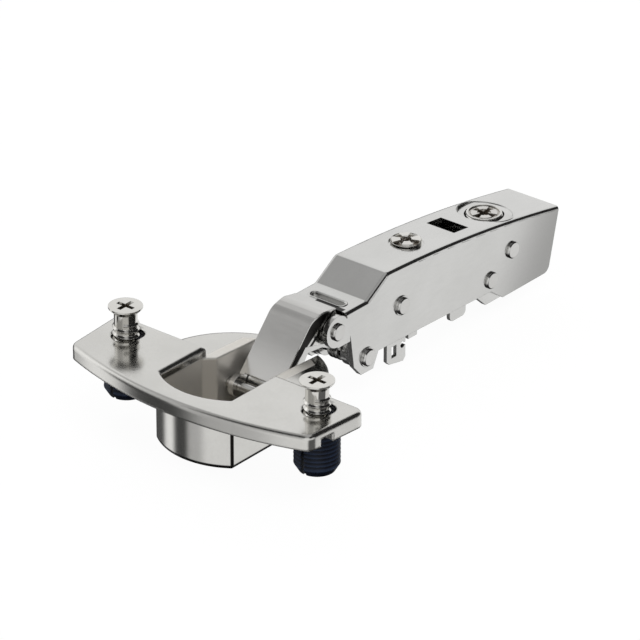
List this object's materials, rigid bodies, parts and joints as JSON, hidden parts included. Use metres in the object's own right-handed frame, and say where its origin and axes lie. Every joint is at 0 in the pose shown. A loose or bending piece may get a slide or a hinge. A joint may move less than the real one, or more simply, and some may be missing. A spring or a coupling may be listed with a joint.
{
  "type": "concealed cup hinge",
  "caption": "Concealed clip-on cup hinge for thick doors: round cast cup with wide bowed flange and dowels, two links, and a folded-sheet arm with side and depth adjusters.",
  "frame": {"origin": "on the cup's axis in the plane of the door's inner face, which is the underside of the flange", "axes": "+X from the cup towards the arm, +Y along the line of the two dowels, +Z out of the door"},
  "size_m": [0.1228, 0.0674, 0.0255],
  "materials": {
    "cast_nickel": "satin nickel plate over die-cast zinc",
    "sheet_nickel": "bright nickel plate over folded steel sheet",
    "pin_steel": "nickel plated steel pin",
    "screw_nickel": "bright nickel plated steel screw",
    "dowel_plastic": "dark blue-black moulded nylon",
    "spring_steel": "oiled spring wire"
  },
  "bodies": {
    "cup_group": {"cup": "cast_nickel", "left_dowel": "dowel_plastic", "right_dowel": "dowel_plastic", "front_cup_pin": "pin_steel", "rear_cup_pin": "pin_steel"},
    "left_screw": {"left_dowel_screw": "screw_nickel"},
    "right_screw": {"right_dowel_screw": "screw_nickel"},
    "outer_link": {"outer_link": "sheet_nickel"},
    "inner_link": {"inner_link": "sheet_nickel"},
    "arm": {"arm_housing": "sheet_nickel", "upper_link_pin": "pin_steel", "lower_link_pin": "pin_steel", "front_rivet": "pin_steel", "middle_rivet": "pin_steel", "rear_rivet": "pin_steel", "thrust_washers": "dowel_plastic", "closing_spring": "spring_steel"},
    "side_screw": {"side_adjusting_screw": "screw_nickel"},
    "carrier": {"carrier_channel": "sheet_nickel"},
    "cam": {"depth_adjusting_cam": "screw_nickel"},
    "clip": {"clip_channel": "sheet_nickel", "release_pin": "pin_steel", "release_spring": "spring_steel"},
    "release_lever": {"release_lever": "sheet_nickel"}
  },
  "joints": [
    {"name": "left_screw_drive", "type": "slide", "parent": "cup_group", "child": "left_screw", "axis": [0, 0, -1], "range_m": [0, 0.0062]},
    {"name": "right_screw_drive", "type": "slide", "parent": "cup_group", "child": "right_screw", "axis": [0, 0, -1], "range_m": [0, 0.0062]},
    {"name": "swing", "type": "hinge", "parent": "cup_group", "child": "outer_link", "pos_m": [0.0057, 0, -0.006], "axis": [0, -1, 0], "range_deg": [0, 117.27]},
    {"name": "inner_link_swing", "type": "hinge", "parent": "cup_group", "child": "inner_link", "pos_m": [0.01, 0, -0.006], "axis": [0, -1, 0], "range_deg": [0, 117.55]},
    {"name": "arm_swing", "type": "hinge", "parent": "outer_link", "child": "arm", "pos_m": [0.0239, 0, 0.0033], "axis": [0, -1, 0], "range_deg": [-27.28, 0], "deforming": ["closing_spring"]},
    {"name": "side_adjust", "type": "hinge", "parent": "arm", "child": "side_screw", "pos_m": [0.0561, 0, 0.0103], "axis": [0, 0, 1], "range_deg": [-360, 360]},
    {"name": "carrier_tilt", "type": "hinge", "parent": "arm", "child": "carrier", "pos_m": [0.0842, 0, -0.00045], "axis": [0, -1, 0], "range_deg": [-1.2, 1.2]},
    {"name": "depth_adjust", "type": "hinge", "parent": "carrier", "child": "cam", "pos_m": [0.0836, 0, 0.0063], "axis": [0, 0, 1], "range_deg": [-60, 60]},
    {"name": "clip_slide", "type": "slide", "parent": "carrier", "child": "clip", "axis": [-1, 0, 0], "range_m": [-0.00156, 0.00156]},
    {"name": "release", "type": "hinge", "parent": "clip", "child": "release_lever", "pos_m": [0.0902, 0, -0.0056], "axis": [0, 1, 0], "range_deg": [0, 12], "stiffness_Nm_per_rad": 0.002, "springref_deg": -28.65, "deforming": ["release_spring"]}
  ],
  "couplings": [
    {"joint": "inner_link_swing", "follows": "swing", "ratio": 1.0023},
    {"joint": "arm_swing", "follows": "swing", "ratio": -0.23254},
    {"joint": "side_adjust", "follows": "carrier_tilt", "ratio": 300},
    {"joint": "depth_adjust", "follows": "clip_slide", "rad_per_m": 671.28}
  ]
}
